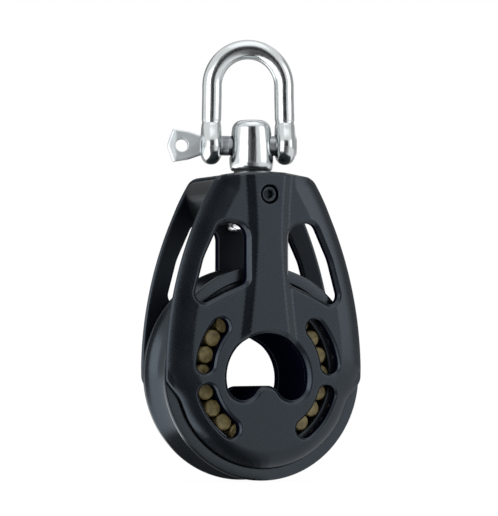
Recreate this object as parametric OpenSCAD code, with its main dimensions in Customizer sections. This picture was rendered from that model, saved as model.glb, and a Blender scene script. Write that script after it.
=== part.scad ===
// Single sheave block: two bevelled cheeks, a roller-bearing sheave and a swivelling shackle.
// X runs to the right, Y away from the viewer along the sheave's axis, Z up.
// The origin is the centre of the sheave.

/* [Sheave and bearing] */
// Outside diameter of the sheave
sheave_d = 45; // [43:0.5:46]
// Width of the sheave over its two rims
sheave_w = 11.6; // [11:0.1:12.4]
// Radius of the rope groove's cross-section
groove_r = 5.2; // [4.9:0.1:5.5]
// Depth of the rope groove
groove_depth = 3.2; // [2.9:0.1:3.4]
// Wall between the bottom of the rope groove and the bearing
sheave_wall = 4; // [3.7:0.1:4.3]
// Number of rollers
roller_count = 22; // [18:1:24]
// Gap between neighbouring rollers
roller_gap = 0.3425; // [0.2:0.0005:0.5]
// Gap between a roller's end and the side face of the sheave
roller_end_gap = 0.1; // [0.05:0.05:0.5]
// Diameter of a side ball
ball_d = 1.8; // [1.4:0.1:2]
// Distance from the bearing's bore to the circle that the side balls run on
ball_inset = 1.7; // [1.5:0.1:1.9]
// Number of side balls in a row
ball_count = 30; // [12:1:48]
// Space between the sheave's side face and a cheek
side_gap = 0.35; // [0.25:0.05:0.5]

/* [Cheeks] */
// How much wider a cheek is than the sheave
cheek_over = 0; // [0:0.1:1.5]
// Height of the cheek's top above the top of the sheave
head_space = 19.9; // [19:0.1:22]
// Radius of the long curved flanks
flank_r = 80; // [76:1:84]
// Height at which the flanks are widest
flank_z = 0; // [-1:0.5:1]
// How far the sheave stands out below the cheek's lower edge
lower_margin = 2.6; // [2.2:0.1:3]
// Angle below the horizontal at which the cut-in meets the lower edge
cut_in_angle = 32; // [28:1:35]
// Thickness of a cheek at its flat face
cheek_t = 2.5; // [2.3:0.1:2.9]
// Thickness of the cheek at its outline, before the bevel
land_t = 0.7; // [0.5:0.1:1]
// Width of the bevel along the flanks and the lower edge
bevel_w = 5.2; // [4.4:0.1:5.6]
// Width of the bevel along the top
top_bevel_w = 1.2; // [0.8:0.1:2]
// Radius of the shoulders at the top corners
shoulder_r = 3.2; // [2:0.1:4]
// Radius of the corners where the flanks turn into the cut-ins
cut_in_r = 2.4; // [1.6:0.1:3]
// How far the centre rib stands proud of the face
rib_h = 0.8; // [0.4:0.1:1.2]
// Half width of the rib's top face at its waist
rib_waist = 2.7; // [2.2:0.1:3]
// Half width of the rib's top face at the cheek's top
rib_top = 3.5; // [2.8:0.1:4]
// Half width of the rib's top face at the eye
rib_foot = 4.4; // [3.4:0.1:5]
// Width of the rib's sloping flanks
rib_flank = 1.4; // [0.8:0.1:1.8]
// Distance of the rib's waist below the top of the upper windows
rib_waist_drop = 2.8; // [2:0.1:4]

/* [Openings] */
// Wall between the hub's outside and the eye's own radius
eye_wall = 2.4; // [2:0.1:2.8]
// How far the eye's centre lies below the sheave's axis
eye_drop = 0.9; // [0.5:0.1:1.2]
// Radius of the two lobes at the bottom of the eye, as a share of the eye's radius
lobe_share = 0.387; // [0.36:0.001:0.41]
// Depth of the lobes below the sheave's axis, as a share of the eye's radius
lobe_depth_share = 0.613; // [0.58:0.001:0.64]
// Depth of the saddle's top below the sheave's axis, as a share of the eye's radius
saddle_share = 0.28; // [0.26:0.001:0.32]
// How far the bearing slots lie outside the rollers' circle
slot_shift = 0.9; // [0.6:0.1:1.1]
// Width of a bearing slot
slot_w = 4; // [3.4:0.1:4.2]
// Angles of the end centres of the upper bearing slots
upper_slot = [7.2, 40.9]; // [0:0.1:60]
// Angles of the end centres of the lower bearing slots
lower_slot = [-53.9, -17.7]; // [-60:0.1:0]
// Inner edge of the upper windows from the centre line
window_in = 4.8; // [4.4:0.1:5.4]
// How far the upper windows reach above the foot of the head block
window_over = 0.4; // [0:0.1:0.8]
// Margin between the flank and the upper windows
window_margin = 4.1; // [3.8:0.1:5]
// Angle above the horizontal of the lower outer corner of the upper windows
window_foot_angle = 44; // [42:1:47]

/* [Head and swivel] */
// Radius of the swivel post's shank
shank_r = 3; // [2.6:0.1:3.4]
// Radius of the threaded end of the swivel post
thread_r = 2.5; // [2:0.1:2.5]
// Greatest radius of the swivel post's barrel
barrel_r = 4.65; // [4.5:0.05:4.8]
// Height of the barrel above the thrust washer
barrel_h = 10.3; // [9.8:0.1:11]
// Height of the shackle pin's axis above the barrel's foot
pin_rise = 4.9; // [4.5:0.1:5.2]
// How far the swivel nut stands out below the head block
nut_drop = 1.4; // [0.8:0.1:1.6]
// Radius of the swivel nut
nut_r = 5; // [4.4:0.1:5.2]
// Height of the swivel nut
nut_h = 3.4; // [2.6:0.1:3.6]
// Thickness of the washer on the swivel nut
washer_t = 0.7; // [0.4:0.1:1]
// Thickness of the thrust washer below the barrel
thrust_t = 1.6; // [1.2:0.1:1.8]
// Depth of the head block below its top face
head_h = 10.2; // [10:0.1:10.6]
// Depth of the lock screw's axis below the head block's top face
lock_drop = 4.2; // [3.8:0.1:4.6]
// Radius of the lock screw
lock_r = 1.75; // [1.5:0.05:2]
// How far the lock screw can be driven in from its rest position
lock_travel = 0.8; // [0.4:0.1:1]

/* [Shackle] */
// Diameter of the shackle's bar
bar_d = 4.15; // [3.8:0.05:4.4]
// Distance between the centre lines of the shackle's legs
leg_spacing = 15.7; // [15.4:0.1:17]
// Distance from the pin's axis to the centre of the bow
leg_h = 12.6; // [10:0.1:14]
// Radius of the ears
ear_r = 4; // [3.6:0.1:4.3]
// Thickness of the ears along the pin
ear_t = 4.4; // [4:0.1:4.6]
// Diameter of the shackle pin
pin_d = 4.25; // [3.8:0.05:4.4]
// Length of the pin's flat tab
tab_len = 7; // [6.6:0.05:8]
// Greatest height of the tab
tab_h = 7; // [6.2:0.1:7.4]
// Thickness of the tab
tab_t = 2.3; // [1.8:0.1:2.6]
// Radius of the hole in the tab
tab_hole_r = 1.35; // [1.2:0.05:1.6]
// Distance from the ear to the centre of the tab's hole
tab_hole_x = 3.9; // [3.6:0.05:4.2]
// How far the shackle has slid along its pin towards the tab
shackle_shift = 0.7; // [0:0.1:0.8]
// Turn of the shackle about the vertical when the block is at rest
swivel_rest = -20; // [-60:1:60]

/* [Fasteners] */
// Radius of the hub screws' shanks
hub_screw_r = 0.9; // [0.7:0.05:1]
// Radius of the hub screws' heads
hub_head_r = 1.4; // [1.3:0.05:1.5]
// Radius of the head screws' shanks
head_screw_r = 1.25; // [1:0.05:1.5]
// Radius of the head screws' heads
head_head_r = 2.2; // [1.8:0.05:2.3]
// Distance of a head screw from the centre line
head_screw_x = 7; // [6.6:0.1:7.2]
// Depth of the lock screw's end below the rib's top face
lock_sink = 0.4; // [0.2:0.1:0.8]
// Radius of a screw's socket as a share of its head's radius
socket_share = 0.58; // [0.5:0.01:0.62]
// Depth of the screw heads below the rear face
screw_sink = 0.15; // [0.05:0.05:0.4]
// Height of the screw heads
screw_head_t = 1.2; // [0.8:0.1:1.3]

/* [Clearances] */
// Radial clearance of pieces that run on each other
run = 0.05; // [0.02:0.01:0.08]
// Radial clearance of pieces that are fixed in each other
seat = 0.03; // [0.02:0.01:0.05]
// Radial clearance of the shackle pin in the swivel post
pin_play = 0.35; // [0.2:0.05:0.45]

/* [Hidden] */
$fn = 64;
arc_steps = 10;
round_steps = 5;
sheave_r = sheave_d / 2;
tread_r = sheave_r - groove_depth;
rim_y = sheave_w / 2;
cheek_in_y = rim_y + side_gap;
land_y = cheek_in_y + land_t;
face_y = cheek_in_y + cheek_t;
rib_y = face_y + rib_h;
mid_inset = 0.45;
mid_height = 0.68;
rim_chamfer = 0.25;
bearing_bore_r = tread_r - sheave_wall;
roller_spread = sin(180 / roller_count);
roller_pitch_r = (bearing_bore_r - run + roller_gap / 2) / (1 + roller_spread);
roller_d = 2 * roller_pitch_r * roller_spread - roller_gap;
roller_len = sheave_w - 2 * roller_end_gap;
roller_chamfer = 0.25;
hub_r = roller_pitch_r - roller_d / 2 - run;
spigot_step = 0.7;
spigot_r = hub_r - spigot_step;
spigot_len = 0.7;
ball_pitch_r = bearing_bore_r + ball_inset;
ball_y = rim_y + side_gap / 2;
race_r = ball_d / 2 + run;

// Cheek outline
cheek_w = sheave_d + cheek_over;
cheek_top_z = sheave_r + head_space;
lower_r = sheave_r - lower_margin;
shoulder_drop = 1.2;
crown_half = 4.5;
crown_drop = 0.2;
flank_step = 4;

// Bearing slots and eye
slot_r = roller_pitch_r + slot_shift;
eye_r = hub_r - eye_wall;
lobe_r = eye_r * lobe_share;
lobe_depth = eye_r * lobe_depth_share;
saddle_depth = eye_r * saddle_share;
lobe_z = lobe_r - lobe_depth;
lobe_x = sqrt(pow(eye_r - lobe_r, 2) - pow(lobe_z + eye_drop, 2));
saddle_r = (pow(lobe_x, 2) + pow(lobe_z + saddle_depth, 2) - pow(lobe_r, 2))
    / (2 * (lobe_r - lobe_z - saddle_depth));
saddle_z = -saddle_depth - saddle_r;
lobe_join = atan2(lobe_z + eye_drop, lobe_x);
saddle_join = atan2(saddle_z - lobe_z, -lobe_x);

// Head block and swivel
head_sink = 0.8;
head_top_z = cheek_top_z - head_sink;
head_low_z = head_top_z - head_h;
head_side_gap = 0.2;
head_side_r = 3.4;
lock_z = head_top_z - lock_drop;
nut_z = head_low_z - nut_drop;
nut_top_z = nut_z + nut_h;
nut_round = 0.8;
pocket_z = nut_top_z + washer_t + run;
pocket_r = nut_r + 0.4;
washer_seat = 0.4;
washer_lip = 0.5;
thrust_inset = 0.35;
barrel_z = head_top_z + thrust_t + run;
barrel_top_z = barrel_z + barrel_h;
barrel_taper = 0.55;
barrel_foot_rise = 1.75;
barrel_waist = 0.1;
barrel_foot_r = barrel_r - barrel_taper;
thrust_r = barrel_foot_r - thrust_inset;
barrel_crown = 2.1;
thread_end = 0.6;
pin_z = barrel_z + pin_rise;
pin_r = pin_d / 2;
tab_step = 0.1;
tab_point = 1.2;
tab_waist = 0.55;
tab_waist_share = 0.35;
ear_round = 0.4;
lock_face_y = -rib_y + lock_sink;
lock_tip_y = -shank_r - run - lock_travel;
lock_socket_r = lock_r * socket_share;
lock_socket_depth = 1.6;
lock_rim = 0.3;

// Upper windows
window_drop = 0.6;
window_top = head_low_z + window_over;
window_low_r = lower_r - window_drop;
window_foot = window_low_r * [cos(window_foot_angle), sin(window_foot_angle)];
window_foot_rise = 2.6;
window_foot_out = 1;
window_foot_lift = 0.7;
window_low_z = window_foot.y + window_foot_rise;
window_mid_angle = 60;
window_side_r = 8;
window_corner_r = 1.8;
window_slope = 1.4;

// Rib stations
rib_waist_z = window_top - rib_waist_drop;
rib_foot_z = eye_r - eye_drop;
rib_head_z = cheek_top_z - top_bevel_w;

// Screws, at their places in the cheek's plane
hub_screw_angle = 62;
hub_wall_r = (hub_r + eye_r - eye_drop) / 2;
hub_foot_z = -(saddle_depth + hub_r) / 2;
hub_screw_at = [
    [hub_wall_r * cos(hub_screw_angle), hub_wall_r * sin(hub_screw_angle)],
    [-hub_wall_r * cos(hub_screw_angle), hub_wall_r * sin(hub_screw_angle)],
    [0, hub_foot_z]
];
head_screw_z = lock_z - 1.4;
head_screw_at = [[-head_screw_x, head_screw_z], [head_screw_x, head_screw_z]];
thread_cover = 0.8;
screw_tip_y = -face_y + thread_cover;

roller_names = [for (i = [1:roller_count]) str("roller_", i < 10 ? "0" : "", i)];

// Points along an arc from angle a0 to angle a1
function arc(centre, r, a0, a1, n = arc_steps) =
    [for (i = [0:n]) centre + r * [cos(a0 + (a1 - a0) * i / n), sin(a0 + (a1 - a0) * i / n)]];

function unit(v) = v / norm(v);

// The fillet of radius r at corner p, between the lines to the points a and b
function fillet(a, p, b, r) =
    let (u = unit(a - p), v = unit(b - p))
    let (half = acos(u * v) / 2)
    let (centre = p + unit(u + v) * r / sin(half))
    let (start = p + u * r / tan(half) - centre, stop = p + v * r / tan(half) - centre)
    let (a0 = atan2(start.y, start.x), turn = atan2(stop.y, stop.x) - a0)
    let (sweep = turn > 180 ? turn - 360 : turn < -180 ? turn + 360 : turn)
    arc(centre, r, a0, a0 + sweep, round_steps);

// A closed outline through corners [x, y, radius]
function rounded(corners) =
    let (n = len(corners), at = [for (c = corners) [c.x, c.y]])
    [for (i = [0:n - 1], p = corners[i].z > 0
        ? fillet(at[(i + n - 1) % n], at[i], at[(i + 1) % n], corners[i].z)
        : [at[i]]) p];

function flip(points) = [for (i = [len(points) - 1:-1:0]) [-points[i].x, points[i].y]];

// Half width of the flank at height z, moved in by inset
function flank_x(z, inset) =
    cheek_w / 2 - flank_r + sqrt(pow(flank_r - inset, 2) - pow(z - flank_z, 2));

// Right half of a cheek's outline from the foot to the top, moved in by inset, and by top_inset at the top
function cheek_half(inset, top_inset) =
    let (low_r = lower_r - inset, top = cheek_top_z - top_inset)
    let (corner_x = flank_x(flank_z, inset))
    let (corner_z = (low_r - corner_x * cos(cut_in_angle)) / -sin(cut_in_angle))
    let (shoulder_z = top - shoulder_drop, shoulder = [flank_x(shoulder_z, inset), shoulder_z])
    let (crown = [crown_half, top - crown_drop], tip = shoulder_r - inset / 2)
    concat(
        arc([0, 0], low_r, -90, -cut_in_angle),
        fillet(low_r * [cos(cut_in_angle), -sin(cut_in_angle)], [corner_x, corner_z],
            [flank_x(corner_z + 2 * flank_step, inset), corner_z + 2 * flank_step], cut_in_r),
        [for (z = [corner_z + flank_step:flank_step:shoulder_z - 3]) [flank_x(z, inset), z]],
        fillet([flank_x(shoulder_z - flank_step, inset), shoulder_z - flank_step], shoulder, crown, tip),
        [crown, [0, top]]
    );

function cheek_outline(inset, top_inset) =
    let (half = cheek_half(inset, top_inset))
    concat(half, flip([for (i = [1:len(half) - 2]) half[i]]));

// Extrudes an outline drawn in X and Z from y0 to y1
module slab(y0, y1) {
    translate([0, y1, 0])
        rotate([90, 0, 0])
            linear_extrude(y1 - y0)
                children();
}

// A round bar along Y
module cross_bar(at, r, y0, y1) {
    translate([at.x, y0, at.y])
        rotate([-90, 0, 0])
            cylinder(r = r, h = y1 - y0);
}

// Turns a shape made about Z so that its axis lies along Y
module along_y() {
    rotate([-90, 0, 0])
        children();
}

module both_sides() {
    children();
    mirror([1, 0, 0])
        children();
}

module eye_outline() {
    half = concat(
        arc([0, saddle_z], saddle_r, 90, saddle_join + 180),
        arc([lobe_x, lobe_z], lobe_r, saddle_join, lobe_join),
        arc([0, -eye_drop], eye_r, lobe_join, 90)
    );
    polygon(concat(half, flip(half)));
}

module slot_outline(span) {
    polygon(concat(
        arc([0, 0], slot_r + slot_w / 2, span[0], span[1]),
        arc(slot_r * [cos(span[1]), sin(span[1])], slot_w / 2, span[1], span[1] + 180),
        arc([0, 0], slot_r - slot_w / 2, span[1], span[0]),
        arc(slot_r * [cos(span[0]), sin(span[0])], slot_w / 2, span[0] + 180, span[0] + 360)
    ));
}

// An upper window: straight beside the rib, parallel to the flank, and sloping outwards at the bottom
module window_outline() {
    mid_z = (window_low_z + window_top) / 2;
    low_in = sqrt(pow(window_low_r, 2) - pow(window_in, 2));
    polygon(rounded([
        [window_in, low_in, window_corner_r],
        [window_low_r * cos(window_mid_angle), window_low_r * sin(window_mid_angle), 0],
        [window_foot.x + window_foot_out, window_foot.y + window_foot_lift, window_corner_r],
        [flank_x(window_low_z, window_margin), window_low_z, window_corner_r],
        [flank_x(mid_z, window_margin), mid_z, window_side_r],
        [flank_x(window_top, window_margin) - 0.6, window_top, window_corner_r],
        [window_in, window_top - window_slope, window_corner_r]
    ]));
}

// The solid form of a cheek, on the rear side
module cheek_blank() {
    hull() {
        slab(cheek_in_y, land_y)
            polygon(cheek_outline(0, 0));
        slab(land_y, land_y + mid_height * (face_y - land_y))
            polygon(cheek_outline(mid_inset * bevel_w, mid_inset * top_bevel_w));
        slab(land_y, face_y)
            polygon(cheek_outline(bevel_w, top_bevel_w));
    }
}

module rib_part(z0, w0, z1, w1) {
    hull() {
        slab(land_y, face_y)
            polygon([[w0 + rib_flank, z0], [w1 + rib_flank, z1], [-w1 - rib_flank, z1], [-w0 - rib_flank, z0]]);
        slab(land_y, rib_y)
            polygon([[w0, z0], [w1, z1], [-w1, z1], [-w0, z0]]);
    }
}

module rib() {
    rib_part(rib_foot_z - 1, rib_foot, rib_waist_z, rib_waist);
    rib_part(rib_waist_z, rib_waist, rib_head_z, rib_top);
}

module ball_race(y) {
    translate([0, y, 0])
        along_y()
            rotate_extrude()
                translate([ball_pitch_r, 0])
                    circle(r = race_r);
}

// A cheek with all the openings that the two cheeks share, on the rear side
module cheek() {
    difference() {
        union() {
            cheek_blank();
            rib();
        }
        slab(cheek_in_y - 1, rib_y + 1)
            eye_outline();
        slab(cheek_in_y - 1, rib_y + 1)
            both_sides()
                window_outline();
        for (span = [upper_slot, lower_slot])
            slab(cheek_in_y - 1, rib_y + 1)
                both_sides()
                    slot_outline(span);
        cross_bar([0, 0], spigot_r + seat, cheek_in_y - 1, cheek_in_y + spigot_len + seat);
        ball_race(ball_y);
    }
}

module front_cheek() {
    color([0.16, 0.17, 0.19])
        difference() {
            mirror([0, 1, 0])
                cheek();
            cross_bar([0, lock_z], lock_r + run, -rib_y - 1, -cheek_in_y + 1);
            cross_bar([0, lock_z], lock_r + lock_rim, -rib_y - 1, lock_face_y);
            for (at = hub_screw_at)
                cross_bar(at, hub_screw_r + seat, screw_tip_y - seat, 0);
            for (at = head_screw_at)
                cross_bar(at, head_screw_r + seat, screw_tip_y - seat, 0);
        }
}

module screw_seat(at, shank, head) {
    cross_bar(at, shank + seat, 0, rib_y + 1);
    cross_bar(at, head + seat, face_y - screw_sink - screw_head_t, rib_y + 1);
}

module rear_cheek() {
    color([0.15, 0.16, 0.18])
        difference() {
            cheek();
            for (at = hub_screw_at)
                screw_seat(at, hub_screw_r, hub_head_r);
            for (at = head_screw_at)
                screw_seat(at, head_screw_r, head_head_r);
        }
}

module head_block() {
    waist_z = lock_z + 0.3;
    waist_x = flank_x(waist_z, 0) - head_side_gap;
    shoulder_z = head_top_z - shoulder_drop;
    shoulder_x = flank_x(shoulder_z, 0) - head_side_gap;
    foot_x = nut_r + 2;
    side_foot = [waist_x - 2.4, head_low_z + 0.8];
    color([0.14, 0.15, 0.17])
        difference() {
            slab(-cheek_in_y, cheek_in_y)
                polygon(rounded([
                    [-foot_x, head_low_z, 1.5],
                    [foot_x, head_low_z, 1.5],
                    [side_foot.x, side_foot.y, 1],
                    [waist_x, waist_z, head_side_r],
                    [shoulder_x, shoulder_z, 1.6],
                    [shank_r, head_top_z, 0],
                    [-shank_r, head_top_z, 0],
                    [-shoulder_x, shoulder_z, 1.6],
                    [-waist_x, waist_z, head_side_r],
                    [-side_foot.x, side_foot.y, 1]
                ]));
            translate([0, 0, head_low_z - 1])
                cylinder(r = shank_r + run, h = head_h + 2);
            translate([0, 0, head_low_z - 1])
                cylinder(r = pocket_r, h = pocket_z - head_low_z + 1);
            translate([0, 0, head_top_z - washer_seat])
                cylinder(r = thrust_r + run, h = washer_seat + 1);
            cross_bar([0, lock_z], lock_r + run, -cheek_in_y - 1, 0);
            for (at = head_screw_at)
                cross_bar(at, head_screw_r + seat, -cheek_in_y - 1, cheek_in_y + 1);
        }
}

module hub() {
    color([0.03, 0.04, 0.07])
        difference() {
            union() {
                cross_bar([0, 0], hub_r, -cheek_in_y, cheek_in_y);
                cross_bar([0, 0], spigot_r, -cheek_in_y - spigot_len, cheek_in_y + spigot_len);
            }
            slab(-rib_y, rib_y)
                eye_outline();
            for (at = hub_screw_at)
                cross_bar(at, hub_screw_r + seat, -rib_y, rib_y);
        }
}

module sheave() {
    color([0.30, 0.31, 0.33])
        difference() {
            along_y()
                rotate_extrude()
                    difference() {
                        polygon([
                            [bearing_bore_r, -rim_y],
                            [sheave_r - rim_chamfer, -rim_y],
                            [sheave_r, -rim_y + rim_chamfer],
                            [sheave_r, rim_y - rim_chamfer],
                            [sheave_r - rim_chamfer, rim_y],
                            [bearing_bore_r, rim_y]
                        ]);
                        translate([tread_r + groove_r, 0])
                            circle(r = groove_r);
                    }
            ball_race(-ball_y);
            ball_race(ball_y);
        }
}

module roller(index) {
    angle = 180 + index * 360 / roller_count;
    color([0.50, 0.43, 0.25])
        translate([roller_pitch_r * cos(angle), 0, roller_pitch_r * sin(angle)])
            along_y()
                rotate_extrude()
                    polygon([
                        [0, -roller_len / 2],
                        [roller_d / 2 - roller_chamfer, -roller_len / 2],
                        [roller_d / 2, -roller_len / 2 + roller_chamfer],
                        [roller_d / 2, roller_len / 2 - roller_chamfer],
                        [roller_d / 2 - roller_chamfer, roller_len / 2],
                        [0, roller_len / 2]
                    ]);
}

module side_balls(y) {
    color([0.85, 0.85, 0.82])
        for (i = [0:ball_count - 1])
            rotate([0, i * 360 / ball_count, 0])
                translate([ball_pitch_r, y, 0])
                    sphere(r = ball_d / 2);
}

module swivel_ring(z, r, t) {
    translate([0, 0, z])
        difference() {
            cylinder(r = r, h = t);
            translate([0, 0, -1])
                cylinder(r = shank_r + run, h = t + 2);
        }
}

module thrust_washer() {
    color([0.08, 0.08, 0.09])
        swivel_ring(head_top_z - washer_seat, thrust_r, thrust_t);
}

module swivel_washer() {
    color([0.08, 0.08, 0.09])
        swivel_ring(nut_top_z, nut_r - washer_lip, washer_t);
}

// Places a shape made about the shackle's own centre, with its pin along X
module in_shackle() {
    rotate([0, 0, swivel_rest])
        translate([-shackle_shift, 0, pin_z])
            children();
}

// A round bar along the shackle pin's axis
module pin_bar(r, x0, x1) {
    translate([x0, 0, 0])
        rotate([0, 90, 0])
            cylinder(r = r, h = x1 - x0);
}

module swivel_post() {
    foot_z = barrel_z - washer_seat;
    color([0.78, 0.80, 0.80])
        difference() {
            rotate_extrude()
                polygon(concat(
                    [[0, nut_z + thread_end], [thread_r, nut_z + thread_end]],
                    [[thread_r, nut_top_z], [shank_r, nut_top_z]],
                    [[shank_r, foot_z], [barrel_foot_r, foot_z]],
                    [[barrel_r, barrel_z + barrel_foot_rise], [barrel_r - barrel_waist, pin_z]],
                    rounded_top()
                ));
            rotate([0, 0, swivel_rest])
                translate([0, 0, pin_z])
                    pin_bar(pin_r + pin_play, -barrel_r - 1, barrel_r + 1);
        }
}

// Profile of the barrel's shoulder, from the side to the axis
function rounded_top() =
    let (centre = [barrel_r - barrel_taper - barrel_crown, barrel_top_z - barrel_crown])
    concat(arc(centre, barrel_crown, 0, 80, round_steps), [[0, barrel_top_z]]);

module swivel_nut() {
    color([0.80, 0.82, 0.82])
        translate([0, 0, nut_z])
            difference() {
                rotate_extrude()
                    polygon(concat(
                        [[0, 0]],
                        arc([nut_r - nut_round, nut_round], nut_round, -90, 0, round_steps),
                        [[nut_r, nut_h], [0, nut_h]]
                    ));
                translate([0, 0, -1])
                    cylinder(r = thread_r + seat, h = nut_h + 2);
            }
}

module lock_screw() {
    color([0.10, 0.10, 0.11])
        difference() {
            cross_bar([0, lock_z], lock_r, lock_face_y, lock_tip_y);
            translate([0, lock_face_y - 1, lock_z])
                rotate([-90, 0, 0])
                    cylinder(r = lock_socket_r, h = lock_socket_depth + 1, $fn = 6);
        }
}

// An ear: a thick disc about the pin's axis, with rounded rims
module ear(x) {
    rim = ear_t * ear_round;
    translate([x, 0, 0])
        rotate([0, 90, 0])
            rotate_extrude()
                polygon(concat(
                    [[0, -ear_t / 2]],
                    arc([ear_r - rim, rim - ear_t / 2], rim, -90, 0, round_steps),
                    arc([ear_r - rim, ear_t / 2 - rim], rim, 0, 90, round_steps),
                    [[0, ear_t / 2]]
                ));
}

module shackle_bow() {
    leg_x = leg_spacing / 2;
    color([0.78, 0.80, 0.80])
        in_shackle()
            difference() {
                union() {
                    for (side = [-1, 1]) {
                        translate([side * leg_x, 0, 0])
                            cylinder(d = bar_d, h = leg_h);
                        ear(side * leg_x);
                    }
                    translate([0, 0, leg_h])
                        rotate([90, 0, 0])
                            rotate_extrude(angle = 180)
                                translate([leg_x, 0])
                                    circle(d = bar_d);
                }
                pin_bar(pin_r + run, -leg_x - ear_t, leg_x + ear_t);
            }
}

module shackle_pin() {
    ear_face = leg_spacing / 2 + ear_t / 2 + run;
    neck = pin_r - tab_step;
    corner_x = tab_len - tab_point;
    waist = [tab_len * tab_waist_share, tab_h / 2 - tab_waist];
    color([0.72, 0.75, 0.76])
        in_shackle()
            difference() {
                union() {
                    pin_bar(pin_r, -ear_face, ear_face);
                    translate([-ear_face, 0, 0])
                        mirror([1, 0, 0])
                            slab(-tab_t / 2, tab_t / 2)
                                polygon(rounded([
                                    [0, -neck, 0],
                                    [waist.x, -waist.y, 3],
                                    [corner_x, -tab_h / 2, 0.4],
                                    [tab_len, 0, 1],
                                    [corner_x, tab_h / 2, 0.4],
                                    [waist.x, waist.y, 3],
                                    [0, neck, 0]
                                ]));
                }
                cross_bar([-ear_face - tab_hole_x, 0], tab_hole_r, -tab_t, tab_t);
            }
}

module rear_screw(at, shank, head) {
    head_y = face_y - screw_sink - screw_head_t;
    difference() {
        union() {
            cross_bar(at, shank, screw_tip_y, head_y);
            cross_bar(at, head, head_y, face_y - screw_sink);
        }
        translate([at.x, head_y + screw_head_t * 0.4, at.y])
            rotate([-90, 0, 0])
                cylinder(r = head * socket_share, h = screw_head_t, $fn = 6);
    }
}

module hub_screws() {
    color([0.70, 0.72, 0.72])
        for (at = hub_screw_at)
            rear_screw(at, hub_screw_r, hub_head_r);
}

module head_screws() {
    color([0.70, 0.72, 0.72])
        for (at = head_screw_at)
            rear_screw(at, head_screw_r, head_head_r);
}

front_cheek();
rear_cheek();
head_block();
hub();
sheave();
side_balls(-ball_y);  // front_side_balls
side_balls(ball_y);  // rear_side_balls
thrust_washer();
swivel_washer();
swivel_post();
swivel_nut();
lock_screw();
shackle_bow();
shackle_pin();
hub_screws();
head_screws();
for (i = [0:roller_count - 1])
    roller(i);
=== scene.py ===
"""Looks of a single sheave block: black anodised cheeks and sheave, polished steel swivel and shackle.

Lengths are millimetres unless a name says otherwise; new_mesh() turns them into Blender's metres.
"""

import math

import bpy
import numpy as np
from mathutils import Matrix, Vector
from mathutils.geometry import delaunay_2d_cdt


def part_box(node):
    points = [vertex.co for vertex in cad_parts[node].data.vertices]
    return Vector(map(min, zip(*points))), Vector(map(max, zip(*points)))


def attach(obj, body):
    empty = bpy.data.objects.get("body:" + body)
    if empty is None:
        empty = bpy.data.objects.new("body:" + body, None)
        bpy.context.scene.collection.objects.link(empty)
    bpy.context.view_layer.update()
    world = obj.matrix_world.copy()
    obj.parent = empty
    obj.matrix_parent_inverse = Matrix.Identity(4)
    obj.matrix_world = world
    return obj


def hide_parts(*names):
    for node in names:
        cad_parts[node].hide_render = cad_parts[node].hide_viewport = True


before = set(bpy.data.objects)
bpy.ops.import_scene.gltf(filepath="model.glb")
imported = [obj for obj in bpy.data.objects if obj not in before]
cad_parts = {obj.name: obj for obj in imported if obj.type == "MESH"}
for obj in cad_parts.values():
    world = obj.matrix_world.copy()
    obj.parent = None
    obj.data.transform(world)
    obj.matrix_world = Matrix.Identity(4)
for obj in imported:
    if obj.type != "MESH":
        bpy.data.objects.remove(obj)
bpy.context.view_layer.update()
MM = 0.001
TINY = 1e-6


def node_box(name):
    """Lowest and highest corner of a CAD node, in millimetres."""
    low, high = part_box(name)
    return [v / MM for v in low], [v / MM for v in high]


# Sizes read from the frame
CHEEK_LOW, CHEEK_HIGH = node_box("front_cheek")
LOCK_LOW, LOCK_HIGH = node_box("lock_screw")
SHEAVE_R, RIM_Y, _ = node_box("sheave")[1]
CHEEK_IN_Y = -CHEEK_HIGH[1]
RIB_Y = -CHEEK_LOW[1]
CHEEK_HALF = CHEEK_HIGH[0]
CHEEK_TOP = CHEEK_HIGH[2]
HUB_R = node_box("hub")[1][0]
HEAD_FOOT = node_box("head_block")[0][2]
THRUST_TOP = node_box("thrust_washer")[1][2]
POST_FOOT, POST_TOP = (corner[2] for corner in node_box("swivel_post"))
LOCK_Z = (LOCK_LOW[2] + LOCK_HIGH[2]) / 2
LOCK_R = (LOCK_HIGH[2] - LOCK_LOW[2]) / 2

# Cheek; a pair named _Z is two heights between which something fades in
RIB_H = 0.65
FACE_Y = RIB_Y - RIB_H
LAND_T = 0.7
INNER_ROUND = 0.5
BEVEL_W = 5.2
LOW_BEVEL_W = 2.6
TOP_BEVEL_W = 0.6
BEVEL_FOOT = 0.65
BEVEL_POWER = 4
LOW_BEVEL_Z = (-4.0, -19.0)
# Upward share of an edge's normal over which its bevel narrows to TOP_BEVEL_W
TOP_RISE = (0.6, 0.95)
FLANK_R = 80.0
FLANK_Z = 0.0
LOWER_R = SHEAVE_R - 2.6
CUT_IN_Z = -1.6
CUT_IN_SLOPE = math.radians(41)
CUT_IN_R = 3.0
CUT_IN_HOLLOW = 6.0
CUT_IN_PAST = math.radians(12)
CUT_IN_REACH = 8.0
FLANK_START = 3.0
FLANK_STOP = 2.5
SHOULDER_DROP = 1.2
SHOULDER_R = 3.4
SHOULDER_REACH = 4.0
CROWN_HALF = 4.5
CROWN_DROP = 0.2
CREASE_SOFT = 0.04
LOW_CREASE_SOFT = 0.55
LOW_CREASE_Z = (-6.0, -18.0)
MITRE_SOFT = 0.45
EDGE_ROUND = 0.3
EDGE_CHAMFER = 0.45
FLUSH_Z = (36.0, 32.0)
RIB_WAIST = 2.7
RIB_WAIST_Z = 29.0
RIB_TOP = 3.5
RIB_TOP_POWER = 1.5
RIB_FOOT = 4.4
RIB_FOOT_Z = 8.4
RIB_FOOT_POWER = 1.6
RIB_FADE_Z = (4.0, 7.0)
RIB_FLANK = 1.9
RIB_SOFT = 0.05
RIB_EDGE = 1.4
GRID = 0.5
EDGE_STEP = 0.35
FINE_STEP = 0.3

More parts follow.
